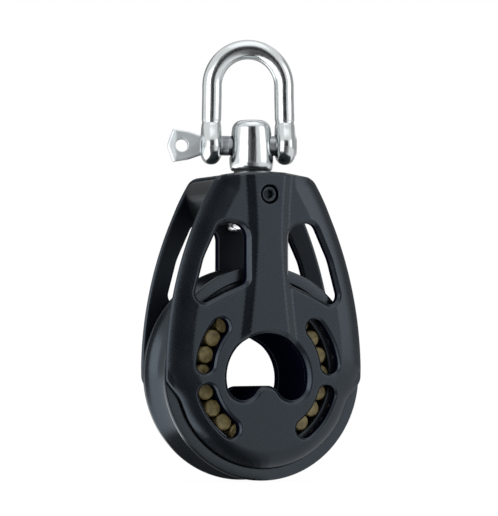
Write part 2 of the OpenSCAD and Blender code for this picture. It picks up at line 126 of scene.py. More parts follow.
# Openings
EYE_R = HUB_R - 2.4
EYE_DROP = 0.9
LOBE_R = 0.387 * EYE_R
LOBE_Z = LOBE_R - 0.613 * EYE_R
SADDLE_Z = 0.28 * EYE_R
EYE_RIM = 0.95
REAR_EYE_RIM = 0.4
CHAMFER_EASE = 0.35
SLOT_R = 14.4
SLOT_W = 4.0
SLOT_RIM = 0.6
UPPER_SLOT = (7.2, 40.9)
LOWER_SLOT = (-53.9, -17.7)
WINDOW_IN = 4.8
WINDOW_TOP = HEAD_FOOT + 0.4
WINDOW_MARGIN = 4.2
WINDOW_LOW_R = LOWER_R - 0.6
WINDOW_FOOT = math.radians(44)
WINDOW_MID = math.radians(60)
WINDOW_FOOT_RISE = 2.6
WINDOW_FOOT_OUT = 1.0
WINDOW_FOOT_LIFT = 0.7
WINDOW_CORNER_R = 1.8
WINDOW_SIDE_R = 12.0
WINDOW_TOP_IN = 0.6
WINDOW_TOP_R = 2.1
WINDOW_ARCH_DROP = 1.1
WINDOW_ARCH_R = 3.0
WINDOW_RIM = 0.9

# Screws: the rear ones by node, with the radii of head and shank
REAR_SCREWS = {"hub_screws": (1.4, 0.9), "head_screws": (2.2, 1.25)}
SCREW_HEAD_T = 1.2
SCREW_CHAMFER = 0.22
SCREW_SEAT = 0.03
SCREW_RIM = 0.15
SCREW_STEPS = 72
HOLE_STEP = 0.25
HEAD_FLAT = 0.05
SAME_HEAD = 2.5
LOCK_HOLE_R = LOCK_R + 0.3
LOCK_CHAMFER_W = 0.25
LOCK_CHAMFER_H = 0.35
LOCK_SOCKET_HALF = 0.88
LOCK_SOCKET_DEPTH = 1.6
# Sockets: SHARE is of the head's radius; MOUTH, LEAD and CONE are of the socket's half width
SOCKET_SHARE = 0.5
SOCKET_DEPTH = 1.0
SOCKET_MOUTH = 1.34
SOCKET_LEAD = 0.2
SOCKET_CONE = 0.17

# Sheave, hub and head
HEAD_ROUND = 0.25
HEAD_SEGMENTS = 3
HEAD_CORNER = math.radians(35)
GROOVE_R = 5.2
GROOVE_DEPTH = 3.2
BEARING_BORE = 15.3
RIM_ROUND = 0.4
RIM_BAND_R = 20.0
SIDE_RECESS_R = 18.6
SIDE_RECESS = 0.7
RIM_BAND_ROUND = 0.2
RECESS_SLOPE = 0.3
BORE_ROUND = 0.3
GROOVE_LIP = 0.3
GROOVE_LIP_TURN = 0.15
SHEAVE_STEPS = 240

# Swivel and shackle
TURN = math.radians(-20)
SHIFT = 0.7
PIN_Z = 48.15
PIN_R = 2.125
PIN_HOLE_R = 2.475
BAR_R = 2.075
LEG_X = 7.85
BOW_R = 7.65
LEG_H = 12.6
EAR_R = 4.0
EAR_T = 4.6
EAR_FADE = 5.6
FORGE_Z = 4.9
FORGE_CREASE = 0.14
FORGE_REACH = 0.35
EAR_END_POWER = 3.0
EAR_END_ROUND = 0.45
EAR_SQUARE = 0.35
EAR_TIP = 0.02
EAR_STATIONS = 22
LEG_START = 0.2
LEG_STATIONS = 50
ARCH_STATIONS = 65
BOW_AROUND = 56
PIN_PLAY = 0.05
EAR_FACE = LEG_X + EAR_T / 2 + PIN_PLAY
BARREL_R = 4.65
BARREL_PLAY = 0.05
BARREL_Z = THRUST_TOP + BARREL_PLAY
BARREL_FOOT_R = 4.1
BARREL_FOOT_RISE = 2.1
BARREL_SHOULDER_R = 4.12
BARREL_CROWN = 2.1
CROWN_SPAN = (math.radians(6), math.radians(82))
SHANK_R = 3.0
THREAD_R = 2.5
THREAD_CHAMFER = 0.3
NUT_TOP = 33.4
POST_BORE_HALF = 9.0
BOW_BORE_HALF = 14.0
POST_STEPS = 160
ROUND_STEPS = 96
PIN_ROUND = 0.3
PIN_ROOT = 0.15
RING_COUNT = 7
RING_START = -5.6
RING_PITCH = 0.22
RING_DEPTH = 0.07
TAB_LEN = 7.0
TAB_H = 7.0
TAB_T = 2.3
TAB_HOLE_X = 3.9
TAB_HOLE_R = 1.35
TAB_ROUND = 0.45
TAB_HOLE_ROUND = 0.2
TAB_ROOT = -0.2
TAB_NECK = PIN_R - 0.1
TAB_POINT = 1.2
TAB_TIP_R = 1.6
TAB_CORNER_R = 0.4
TAB_WAIST_SHARE = 0.35
TAB_WAIST_IN = 0.55
TAB_WAIST_R = 3.0
TAB_BEVEL_W = 1.9
TAB_BEVEL_DROP = 0.35
TAB_STEP = 0.2
TAB_GRID = 0.3

# Plate meshes
RIM_ANGLES = (0, 20, 40, 60, 78, 90)
GRID_GAP = 0.6
SLOPE_STEP = 0.012
WEAR_AT = 0.7
WEAR_SPREAD = 0.5
CHUNK = 500


# Plane geometry

def polar(r, a):
    return r * math.cos(a), r * math.sin(a)


def arc(centre, r, a0, a1, steps):
    """Points along an arc, angles in radians."""
    angles = np.linspace(a0, a1, steps + 1)
    return [(centre[0] + r * math.cos(a), centre[1] + r * math.sin(a)) for a in angles]


def fillet(a, p, b, r, steps=8):
    """The arc of radius r that rounds corner p between the lines to a and b."""
    a, p, b = np.array(a), np.array(p), np.array(b)
    u = (a - p) / np.linalg.norm(a - p)
    v = (b - p) / np.linalg.norm(b - p)
    half = math.acos(float(np.clip(u @ v, -1, 1))) / 2
    centre = p + (u + v) / np.linalg.norm(u + v) * r / math.sin(half)
    start = p + u * r / math.tan(half) - centre
    stop = p + v * r / math.tan(half) - centre
    a0 = math.atan2(start[1], start[0])
    sweep = (math.atan2(stop[1], stop[0]) - a0 + math.pi) % (2 * math.pi) - math.pi
    return arc(centre, r, a0, a0 + sweep, steps)


def rounded(corners):
    """A closed outline through corners (x, z, radius)."""
    out = []
    for i, (x, z, r) in enumerate(corners):
        if r:
            before, after = corners[i - 1], corners[(i + 1) % len(corners)]
            out += fillet(before[:2], (x, z), after[:2], r)
        else:
            out.append((x, z))
    return out


def resample(points, step):
    """The closed outline with points about one step apart."""
    p = np.array(points)
    p = p[np.linalg.norm(p - np.roll(p, 1, axis=0), axis=1) > TINY]
    closed = np.vstack([p, p[:1]])
    run = np.concatenate([[0], np.cumsum(np.linalg.norm(np.diff(closed, axis=0), axis=1))])
    at = np.linspace(0, run[-1], max(12, int(round(run[-1] / step))), endpoint=False)
    return np.stack([np.interp(at, run, closed[:, 0]), np.interp(at, run, closed[:, 1])], axis=1)


def left_normals(loop):
    """Unit normals on the left of a closed loop's direction of travel."""
    along = np.roll(loop, -1, axis=0) - np.roll(loop, 1, axis=0)
    along /= np.linalg.norm(along, axis=1)[:, None]
    return np.stack([-along[:, 1], along[:, 0]], axis=1)


def area(loop):
    """Area inside a closed loop, negative where it runs clockwise."""
    x, z = loop[:, 0], loop[:, 1]
    return 0.5 * float(np.sum(x * np.roll(z, -1) - np.roll(x, -1) * z))


def inside(points, loop):
    """True where a point lies inside the closed loop."""
    hit = np.zeros(len(points), bool)
    for (x0, z0), (x1, z1) in zip(loop, np.roll(loop, -1, axis=0)):
        if z0 == z1:
            continue
        crosses = (z0 > points[:, 1]) != (z1 > points[:, 1])
        hit ^= crosses & (points[:, 0] < (x1 - x0) * (points[:, 1] - z0) / (z1 - z0) + x0)
    return hit


def distance(points, loop, scale=1.0, edges=slice(None)):
    """Distance from each point to the chosen edges of the loop, each divided by its own scale."""
    x0, z0 = loop[edges].T
    dx, dz = (np.roll(loop, -1, axis=0) - loop)[edges].T
    length = np.maximum(dx * dx + dz * dz, TINY ** 2)
    weight = 1 / np.broadcast_to(scale, len(loop))[edges] ** 2
    best = np.empty(len(points))
    for start in range(0, len(points), CHUNK):
        chunk = slice(start, start + CHUNK)
        px = points[chunk, 0, None] - x0
        pz = points[chunk, 1, None] - z0
        t = np.clip((px * dx + pz * dz) / length, 0, 1)
        best[chunk] = (((px - t * dx) ** 2 + (pz - t * dz) ** 2) * weight).min(axis=1)
    return np.sqrt(best)


def mirrored(points):
    """The points on the other side of the middle line, in reverse order."""
    return [(-x, z) for x, z in reversed(points)]


def soft_min(a, b, k):
    """The lesser of two values, rounded where they differ by less than k."""
    h = np.maximum(k - np.abs(a - b), 0) / k
    return np.minimum(a, b) - h * h * k / 4


def smooth_step(start, stop, value):
    """0 at start and 1 at stop, with a smooth rise between."""
    t = np.clip((value - start) / (stop - start), 0, 1)
    return t * t * (3 - 2 * t)


def rim_drop(d, r):
    """How far a rounded rim of radius r lies below its face, at distance d from the edge."""
    return r - np.sqrt(np.maximum(r * r - np.clip(r - d, 0, r) ** 2, 0))


def chamfer_drop(d, w):
    """The same for a chamfer of width w at 45 degrees, eased into the face."""
    t = np.clip(1 - d / w, 0, 1)
    return w * np.where(t < CHAMFER_EASE, t * t / (2 * CHAMFER_EASE), t - CHAMFER_EASE / 2)


# Outlines in X and Z

def flank_x(z, inset=0.0):
    """Half width of the cheek at a height, less an inset."""
    return CHEEK_HALF - FLANK_R + math.sqrt((FLANK_R - inset) ** 2 - (z - FLANK_Z) ** 2)


def on_flank(z):
    return flank_x(z), z


def cut_in_join():
    """Angle below the horizontal at which the sloping cut-in meets the lower edge."""
    x, z = flank_x(CUT_IN_Z), CUT_IN_Z
    dx, dz = -math.sin(CUT_IN_SLOPE), -math.cos(CUT_IN_SLOPE)
    along = x * dx + z * dz
    run = -along - math.sqrt(along ** 2 - (x * x + z * z - LOWER_R ** 2))
    return math.atan2(-(z + run * dz), x + run * dx)


def cheek_outline():
    """Round below, a hollow cut-in on either side, bowed flanks, rounded shoulders and a low crown."""
    join = cut_in_join()
    past = join + CUT_IN_PAST
    joint = polar(LOWER_R, -join)
    after = polar(LOWER_R, -past)
    corner = on_flank(CUT_IN_Z)
    shoulder = on_flank(CHEEK_TOP - SHOULDER_DROP)
    crown = (CROWN_HALF, CHEEK_TOP - CROWN_DROP)
    half = arc((0, 0), LOWER_R, -math.pi / 2, -past, steps=60)
    half += fillet(after, joint, corner, CUT_IN_HOLLOW)
    half += fillet(joint, corner, on_flank(CUT_IN_Z + CUT_IN_REACH), CUT_IN_R)
    half += [on_flank(z) for z in np.arange(CUT_IN_Z + FLANK_START, shoulder[1] - FLANK_STOP, 1.0)]
    half += fillet(on_flank(shoulder[1] - SHOULDER_REACH), shoulder, crown, SHOULDER_R)
    half += [crown]
    return half + [(0, CHEEK_TOP)] + mirrored(half)


def eye_outline():
    """A round eye with a saddle between two lobes below."""
    lobe_x = math.sqrt((EYE_R - LOBE_R) ** 2 - (LOBE_Z + EYE_DROP) ** 2)
    reach = LOBE_Z + SADDLE_Z
    saddle_r = (lobe_x ** 2 + reach ** 2 - LOBE_R ** 2) / (2 * (LOBE_R - reach))
    saddle = -SADDLE_Z - saddle_r
    lobe_join = math.atan2(LOBE_Z + EYE_DROP, lobe_x)
    saddle_join = math.atan2(saddle - LOBE_Z, -lobe_x)
    half = arc((0, saddle), saddle_r, math.pi / 2, saddle_join + math.pi, steps=24)
    half += arc((lobe_x, LOBE_Z), LOBE_R, saddle_join, lobe_join, steps=32)
    half += arc((0, -EYE_DROP), EYE_R, lobe_join, math.pi / 2, steps=40)
    return half + mirrored(half)


def slot_outline(span):
    """A curved slot with round ends over a span of degrees."""
    a, b = (math.radians(v) for v in span)
    out = arc((0, 0), SLOT_R + SLOT_W / 2, a, b, steps=24)
    out += arc(polar(SLOT_R, b), SLOT_W / 2, b, b + math.pi, steps=20)
    out += arc((0, 0), SLOT_R - SLOT_W / 2, b, a, steps=24)
    return out + arc(polar(SLOT_R, a), SLOT_W / 2, a + math.pi, a + 2 * math.pi, steps=20)


def window_outline():
    """The window right of the rib: above the sheave's rim, inside the flank and under the head block."""
    low_r = WINDOW_LOW_R
    foot = polar(low_r, WINDOW_FOOT)
    low_z = foot[1] + WINDOW_FOOT_RISE
    mid_z = (low_z + WINDOW_TOP) / 2
    return rounded([
        (WINDOW_IN, math.sqrt(low_r ** 2 - WINDOW_IN ** 2), WINDOW_CORNER_R),
        (*polar(low_r, WINDOW_MID), 0),
        (foot[0] + WINDOW_FOOT_OUT, foot[1] + WINDOW_FOOT_LIFT, WINDOW_CORNER_R),
        (flank_x(low_z, WINDOW_MARGIN), low_z, WINDOW_CORNER_R),
        (flank_x(mid_z, WINDOW_MARGIN), mid_z, WINDOW_SIDE_R),
        (flank_x(WINDOW_TOP, WINDOW_MARGIN) - WINDOW_TOP_IN, WINDOW_TOP, WINDOW_TOP_R),
        (WINDOW_IN, WINDOW_TOP - WINDOW_ARCH_DROP, WINDOW_ARCH_R),
    ])


def circle(centre, r, steps=48):
    return arc(centre, r, 0, 2 * math.pi, steps)[:-1]


# Mesh building

def add_to_scene(name, data):
    obj = bpy.data.objects.new(name, data)
    bpy.context.scene.collection.objects.link(obj)
    return obj


def shade(mesh, sharp):
    """Smooth shading except at edges sharper than an angle in degrees."""
    mesh.shade_smooth()
    mesh.set_sharp_from_angle(angle=math.radians(sharp))


def new_mesh(name, points, faces):
    """A mesh of points in millimetres."""
    mesh = bpy.data.meshes.new(name)
    mesh.from_pydata([tuple(c * MM for c in p) for p in points], [], faces)
    return mesh


def add_object(name, points, faces, sharp=40):
    """A mesh object, smooth except at sharp edges."""
    mesh = new_mesh(name, points, faces)
    mesh.validate()
    shade(mesh, sharp)
    return add_to_scene(name, mesh)


def lathe(profile, steps, closed):
    """A profile of (radius, height) turned about Z. A closed profile is a ring."""
    points, faces, rings = [], [], []
    turns = [2 * math.pi * i / steps for i in range(steps)]
    for r, h in profile:
        if r < TINY:
            rings.append([len(points)] * steps)
            points.append((0, 0, h))
            continue
        rings.append(list(range(len(points), len(points) + steps)))
        points += [(*polar(r, a), h) for a in turns]
    for low, high in zip(rings, rings[1:] + rings[:1] if closed else rings[1:]):
        for i in range(steps):
            j = (i + 1) % steps
            face = [low[i], low[j], high[j], high[i]]
            face = [v for k, v in enumerate(face) if v != face[k - 1]]
            if len(face) > 2:
                faces.append(face)
    return points, faces


def band(a, b, n):
    """Quads between two rings of n points, of which a and b are the first."""
    return [(a + i, a + (i + 1) % n, b + (i + 1) % n, b + i) for i in range(n)]


def place(points, matrix):
    return [tuple(matrix @ Vector(p)) for p in points]


ALONG_Y = Matrix.Rotation(-math.pi / 2, 4, "X")
ALONG_X = Matrix.Rotation(math.pi / 2, 4, "Y")
IN_SHACKLE = Matrix.Rotation(TURN, 4, "Z") @ Matrix.Translation((-SHIFT, 0, PIN_Z))


def within(points, loops):
    """True where a point lies inside the first loop and outside the others."""
    hit = inside(points, loops[0][0])
    for loop, _ in loops[1:]:
        hit &= ~inside(points, loop)
    return hit


def grid_points(loops, grid):
    """Points of a triangular grid that lie in the plate, clear of its rims."""
    low, high = loops[0][0].min(axis=0), loops[0][0].max(axis=0)
    rows = np.arange(low[1], high[1], grid * math.sqrt(3) / 2)
    spots = np.array([(x, z) for k, z in enumerate(rows)
                      for x in np.arange(low[0] + grid / 2 * (k % 2), high[0], grid)])
    keep = within(spots, loops)
    for loop, r in loops:
        keep &= distance(spots, loop) > r + grid * GRID_GAP
    return spots[keep]


def triangulate(loops, grid):
    """A plate in X and Z: points, anticlockwise triangles, each point's loop or -1, normals of the walls."""
    coords, edges, starts = [], [], []
    for loop, r in loops:
        starts.append(len(coords))
        # Rings inside the edge, spaced as a rounded rim needs them
        for a in RIM_ANGLES:
            ring = loop + left_normals(loop) * (r * (1 - math.cos(math.radians(a))))
            first = len(coords)
            coords += [tuple(p) for p in ring]
            edges += [(first + i, first + (i + 1) % len(ring)) for i in range(len(ring))]
    coords += [tuple(p) for p in grid_points(loops, grid)]
    verts, _, tris, origin, _, _ = delaunay_2d_cdt([Vector(p) for p in coords], edges, [], 0, TINY)
    flat, tris = np.array([tuple(v) for v in verts]), np.array(tris)
    where = {source: out for out, sources in enumerate(origin) for source in sources}
    loop_of = np.full(len(flat), -1)
    wall_normals = np.zeros((len(flat), 2))
    for k, (loop, _) in enumerate(loops):
        ring = [where[starts[k] + i] for i in range(len(loop))]
        loop_of[ring] = k
        wall_normals[ring] = -left_normals(loop)
    # A triangle with all its corners on one edge is a sliver beside the plate
    a, b, c = loop_of[tris].T
    tris = tris[within(flat[tris].mean(axis=1), loops) & ((a < 0) | (a != b) | (b != c))]
    u, v = flat[tris[:, 1]] - flat[tris[:, 0]], flat[tris[:, 2]] - flat[tris[:, 0]]
    clockwise = u[:, 0] * v[:, 1] - u[:, 1] * v[:, 0] < 0
    tris[clockwise] = tris[clockwise][:, ::-1]
    return flat, tris, loop_of, wall_normals


def plate_walls(flat, tris, loop_of, wall_normals):
    """Quads between the two sides of a plate along its edges, with their corners' normals and their loop."""
    count = len(flat)
    pairs = np.concatenate([tris[:, [0, 1]], tris[:, [1, 2]], tris[:, [2, 0]]]).tolist()
    known = {tuple(pair) for pair in pairs}
    walls = []
    for a, b in pairs:
        if (b, a) in known:
            continue
        along = flat[b] - flat[a]
        across = np.array((along[1], -along[0])) / np.linalg.norm(along)
        side_a, side_b = (wall_normals[v] if loop_of[v] >= 0 else across for v in (a, b))
        sides = [(s[0], 0, s[1]) for s in (side_a, side_b, side_b, side_a)]
        walls.append(((a, b, b + count, a + count), sides, loop_of[a]))
    return walls


def relief(name, outline, holes, front, back, grid):
    """A plate between two height fields, with walls round its outline and its holes.

    outline and each hole are (points, step, rim width). front and back map points in X and Z to Y.
    Paints: 0 front and outer rim, 1 back, 2 walls of the holes.
    """
    loops = []
    for points, step, r in [outline] + holes:
        loop = resample(points, step)
        anticlockwise = area(loop) > 0
        loops.append((loop if anticlockwise == (not loops) else loop[::-1], r))
    flat, tris, loop_of, wall_normals = triangulate(loops, grid)
    count = len(flat)
    y_front, y_back = front(flat), back(flat)
    outward = -1 if y_front.mean() < y_back.mean() else 1
    points = [(x, y, z) for side in (y_front, y_back) for (x, z), y in zip(flat, side)]
    # A triangle that runs anticlockwise in X and Z faces -Y
    near, far = (tris, tris[:, ::-1]) if outward < 0 else (tris[:, ::-1], tris)
    front_normals = slope_normals(flat, front, outward)
    back_normals = slope_normals(flat, back, -outward)
    faces = [tuple(t) for t in near] + [tuple(t + count) for t in far]
    normals = [front_normals[i] for t in near for i in t] + [back_normals[i] for t in far for i in t]
    on_rim = distance(flat[tris].mean(axis=1), loops[0][0]) < outline[2]
    paints = [0] * len(near) + [0 if rim else 1 for rim in on_rim]
    for quad, sides, loop in plate_walls(flat, tris, loop_of, wall_normals):
        faces.append(quad[::outward])
        normals += sides[::outward]
        paints.append(0 if loop == 0 else 2)
    mesh = new_mesh(name, points, faces)
    mesh.shade_smooth()
    mesh.normals_split_custom_set([tuple(n) for n in normals])
    mesh.polygons.foreach_set("material_index", paints)
    rim = np.min([distance(flat, loop) / r for loop, r in loops], axis=0)
    wear = np.exp(-((rim - WEAR_AT) / WEAR_SPREAD) ** 2)
    edge = mesh.attributes.new("edge", "FLOAT", "POINT")
    edge.data.foreach_set("value", np.tile(wear, 2).astype(np.float32))
    return add_to_scene(name, mesh)


def slope_normals(flat, height, outward):
    """Unit normals of a height field, on the side that outward says."""
    right, up = (SLOPE_STEP, 0), (0, SLOPE_STEP)
    dx = (height(flat + right) - height(flat - right)) / (2 * SLOPE_STEP)
    dz = (height(flat + up) - height(flat - up)) / (2 * SLOPE_STEP)
    n = np.stack([-dx, np.ones(len(flat)), -dz], axis=1) * outward
    return n / np.linalg.norm(n, axis=1)[:, None]


def bore(obj, r, half, matrix, sharp):
    """Cuts a round hole through obj along the matrix's Z and shades obj again."""
    points, faces = lathe([(0, -half), (r, -half), (r, half), (0, half)], ROUND_STEPS, closed=False)
    tool = add_object("cutter", place(points, matrix), faces)
    step = obj.modifiers.new("cut", "BOOLEAN")
    step.operation, step.solver, step.object = "DIFFERENCE", "EXACT", tool
    with bpy.context.temp_override(object=obj, active_object=obj, selected_objects=[obj]):
        bpy.ops.object.modifier_apply(modifier=step.name)
    bpy.data.objects.remove(tool)
    shade(obj.data, sharp)


# Materials

def add_node(tree, kind, inputs, **settings):
    """A new node. inputs maps an input's name or number to a value or to the socket that feeds it."""
    node = tree.nodes.new(kind)
    for key, value in settings.items():
        setattr(node, key, value)
    for key, value in inputs.items():
        if isinstance(value, bpy.types.NodeSocket):
            tree.links.new(value, node.inputs[key])
        else:
            node.inputs[key].default_value = value
    return node


class Paint:
    """A node material round one Principled shader."""

    def __init__(self, name, **constants):
        self.material = bpy.data.materials.new(name)
        self.material.use_nodes = True
        self.tree = self.material.node_tree
        self.shader = self.tree.nodes["Principled BSDF"]
        self.coords = self.node("ShaderNodeTexCoord", {}).outputs["Object"]
        for socket, value in constants.items():
            self.shader.inputs[socket.replace("_", " ")].default_value = value

    def node(self, kind, inputs, **settings):
        return add_node(self.tree, kind, inputs, **settings)

    def noise(self, size, detail, stretch=(1, 1, 1)):
        """Noise with features about that many millimetres across, longer where stretch is small."""
        shift = self.node("ShaderNodeMapping", {"Vector": self.coords, "Scale": stretch})
        inputs = {"Vector": shift.outputs["Vector"], "Scale": 1 / (size * MM), "Detail": detail}
        return self.node("ShaderNodeTexNoise", inputs).outputs["Fac"]

    def spread(self, source, low, high):
        """Maps the usual span of a noise onto a range of values."""
        start, stop = NOISE_SPAN
        inputs = {"Value": source, "From Min": start, "From Max": stop, "To Min": low, "To Max": high}
        return self.node("ShaderNodeMapRange", inputs).outputs["Result"]

    def blend(self, share, first, second):
        """A colour between two, each a colour or a socket."""
        first, second = ((*c, 1) if isinstance(c, tuple) else c for c in (first, second))
        return self.node("ShaderNodeMix", {"Factor": share, 6: first, 7: second}, data_type="RGBA").outputs[2]

    def math(self, kind, first, second):
        return self.node("ShaderNodeMath", {0: first, 1: second}, operation=kind).outputs[0]

    def attribute(self, name):
        return self.node("ShaderNodeAttribute", {}, attribute_name=name).outputs["Fac"]

    def radius(self):
        """Distance from the sheave's axis, in metres."""
        flat = self.node("ShaderNodeVectorMath", {0: self.coords, 1: (1, 0, 1)}, operation="MULTIPLY")
        return self.node("ShaderNodeVectorMath", {0: flat.outputs[0]}, operation="LENGTH").outputs["Value"]

    def colour(self, socket):
        self.tree.links.new(socket, self.shader.inputs["Base Color"])

    def roughness(self, socket):
        self.tree.links.new(socket, self.shader.inputs["Roughness"])

    def bumps(self, *layers):
        """Bump layers of (height socket, depth in millimetres)."""
        below = {}
        for height, depth in layers:
            bump = self.node("ShaderNodeBump", {"Height": height, "Distance": depth * MM, **below})
            below = {"Normal": bump.outputs["Normal"]}
        self.tree.links.new(below["Normal"], self.shader.inputs["Normal"])


COOL = (0.72, 0.86, 1.0, 1.0)
NOISE_SPAN = (0.3, 0.7)
WORN = 2.6
DULL = 0.93


def black_anodised(name, dark, light, rough, gloss=0.5):
    """Bead-blasted and dyed aluminium: a fine grain, faint cloudiness, and paler rims."""
    paint = Paint(name, Specular_IOR_Level=gloss, Specular_Tint=COOL)
    cloud = paint.noise(9.0, 4)
    grain = paint.noise(0.22, 2)
    base = paint.blend(paint.spread(cloud, 0, 1), dark, light)
    worn = paint.math("MULTIPLY", paint.attribute("edge"), paint.spread(paint.noise(1.3, 5), 0.15, 0.75))
    paint.colour(paint.blend(worn, base, tuple(WORN * v for v in light)))
    patches = paint.spread(cloud, rough - 0.03, rough + 0.03)
    paint.roughness(paint.math("ADD", patches, paint.spread(grain, -0.04, 0.04)))
    paint.bumps((grain, 0.006), (paint.noise(2.6, 3), 0.010))
    return paint.material


def turned_anodised():
    """The sheave: dark anodised metal with fine turning marks round its axis."""
    paint = Paint("sheave_metal", Specular_IOR_Level=0.6, Specular_Tint=COOL)
    inputs = {"W": paint.radius(), "Scale": 1 / (0.12 * MM), "Detail": 3}
    marks = paint.node("ShaderNodeTexNoise", inputs, noise_dimensions="1D").outputs["Fac"]
    cloud = paint.noise(7.0, 4)
    paint.colour(paint.blend(paint.spread(cloud, 0, 1), (0.0060, 0.0072, 0.0090), (0.0095, 0.0110, 0.0130)))
    paint.roughness(paint.math("ADD", paint.spread(cloud, 0.21, 0.27), paint.spread(marks, -0.05, 0.05)))
    paint.bumps((marks, 0.004), (paint.noise(0.25, 2), 0.003))
    return paint.material


def polished_steel(name, tint, smooth, wobble):
    """Forged stainless steel, tumbled and polished: soft waves, fine scratches, faint clouds."""
    paint = Paint(name, Metallic=1.0)
    cloud = paint.noise(3.0, 4)
    scratch = paint.noise(0.35, 4, stretch=(1.0, 1.0, 0.08))
    paint.colour(paint.blend(paint.spread(cloud, 0, 1), tuple(DULL * v for v in tint), tint))
    patches = paint.spread(cloud, smooth, smooth + 0.06)
    paint.roughness(paint.math("ADD", patches, paint.spread(scratch, 0, 0.05)))
    paint.bumps((paint.noise(2.2, 2), wobble), (scratch, 0.0012))
    return paint.material


def moulded_plastic(name, dark, light, rough, grain):
    """A plain moulded or cut plastic with a mottled colour and a fine surface."""
    paint = Paint(name, Specular_IOR_Level=0.45)
    paint.colour(paint.blend(paint.spread(paint.noise(0.9, 5), 0, 1), dark, light))
    paint.roughness(paint.spread(paint.noise(0.8, 3), rough - 0.06, rough + 0.06))
    paint.bumps((paint.noise(grain, 3), 0.01))
    return paint.material


ANODISED = black_anodised("black_anodised", (0.0040, 0.0052, 0.0072), (0.0060, 0.0074, 0.0098), 0.27)
HEAD_PAINT = black_anodised("head_anodised", (0.0045, 0.0060, 0.0060), (0.0070, 0.0088, 0.0085), 0.34, 0.4)
# A darker, duller copy of the anodised for the cheeks' inner faces: painted shade between the cheeks.
INNER_SHADE_PAINT = black_anodised("inner_painted_shade", (0.0020, 0.0026, 0.0040), (0.0034, 0.0042, 0.0060), 0.42, 0.2)
# A dark, blue, glossless copy of the anodised for the hub's eye wall and the walls of the cheeks' openings:
# painted shade in the holes.
WALL_SHADE_PAINT = black_anodised("hub_and_wall_painted_shade", (0.0020, 0.0028, 0.0085), (0.0032, 0.0042, 0.0120), 0.50, 0.0)
SHEAVE_PAINT = turned_anodised()
STEEL = polished_steel("polished_steel", (0.62, 0.65, 0.66), 0.14, 0.035)
TAB_STEEL = polished_steel("satin_steel", (0.64, 0.68, 0.70), 0.43, 0.05)
# A darker steel for the pin and the wall of the tab's hole: painted shade in the gaps and the hole.
PIN_SHADE_STEEL = polished_steel("pin_painted_shade", (0.36, 0.38, 0.40), 0.26, 0.010)
SCREW_STEEL = polished_steel("screw_steel", (0.55, 0.56, 0.56), 0.22, 0.004)
# A near-black steel for the screws' sockets: painted shade in the deep sockets.
SOCKET_SHADE_STEEL = polished_steel("socket_painted_shade", (0.08, 0.08, 0.085), 0.35, 0.004)
BLACK_STEEL = black_anodised("black_steel", (0.006, 0.007, 0.009), (0.010, 0.012, 0.015), 0.25)
ROLLER_PLASTIC = moulded_plastic("roller_plastic", (0.14, 0.105, 0.033), (0.36, 0.285, 0.12), 0.45, 0.5)
BALL_PLASTIC = moulded_plastic("ball_plastic", (0.006, 0.006, 0.007), (0.010, 0.010, 0.012), 0.35, 0.4)
WASHER_PLASTIC = moulded_plastic("washer_plastic", (0.010, 0.010, 0.011), (0.018, 0.018, 0.020), 0.45, 0.3)


def finish(obj, paints, body, slot, *nodes):
    """Paints a new piece, sets it on its body and hides the CAD nodes that it stands for."""
    for paint in paints:
        obj.data.materials.append(paint)
    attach(obj, body)
    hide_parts(*nodes)


def repaint(paint, *nodes):
    """Gives a material to CAD nodes that are shown as they are."""
    for name in nodes:
        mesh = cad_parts[name].data
        mesh.materials.clear()
        mesh.materials.append(paint)


# Cheeks

OUTLINE = resample(cheek_outline(), FINE_STEP)


def bevel_width():
    """Width of the bevel at each point of the outline: wide along the flanks, narrow at top and bottom."""
    z = OUTLINE[:, 1]
    rise = np.abs(left_normals(OUTLINE)[:, 1]) * (z > CHEEK_TOP / 2)
    return (BEVEL_W + (TOP_BEVEL_W - BEVEL_W) * smooth_step(*TOP_RISE, rise)
            + (LOW_BEVEL_W - BEVEL_W) * smooth_step(*LOW_BEVEL_Z, z))


def bevel_share(p):
    """Distance from the outline over the bevel's width; flanks and lower edge blend without a mitre."""
    width = bevel_width()
    flank = OUTLINE[:, 1] > CUT_IN_Z
    upper = distance(p, OUTLINE, width, flank)
    lower = distance(p, OUTLINE, width, ~flank)
    return soft_min(upper, lower, np.minimum(MITRE_SOFT, upper + lower) + TINY)


def rib_half(z):
    """Half the width of the rib's top at a height: narrow at its waist, wider at its foot and its head."""
    below = np.maximum(RIB_WAIST_Z - z, 0) / (RIB_WAIST_Z - RIB_FOOT_Z)
    above = np.maximum(z - RIB_WAIST_Z, 0) / (CHEEK_TOP - RIB_WAIST_Z)
    return (RIB_WAIST + (RIB_FOOT - RIB_WAIST) * below ** RIB_FOOT_POWER
            + (RIB_TOP - RIB_WAIST) * above ** RIB_TOP_POWER)


def face_height(p):
    """Height of a cheek's outside above the middle plane, without the rounding of its openings."""
    share = bevel_share(p)
    near = np.minimum(share, 1.0)
    curve = BEVEL_FOOT * share + (1 - BEVEL_FOOT) * (1 - (1 - near) ** BEVEL_POWER)
    rise = FACE_Y - CHEEK_IN_Y - LAND_T
    bevel = CHEEK_IN_Y + LAND_T + rise * curve
    soft = CREASE_SOFT + (LOW_CREASE_SOFT - CREASE_SOFT) * smooth_step(*LOW_CREASE_Z, p[:, 1])
    height = soft_min(bevel, np.full(len(p), FACE_Y), soft)
    flank = RIB_H * (rib_half(p[:, 1]) + RIB_FLANK - np.abs(p[:, 0])) / RIB_FLANK
    rib = -soft_min(-soft_min(flank, np.full(len(p), RIB_H), RIB_SOFT), np.zeros(len(p)), RIB_SOFT)
    foot = np.interp(p[:, 1], RIB_FADE_Z, (0, 1))
    return height + rib * np.clip(share * RIB_EDGE, 0, 1) * foot


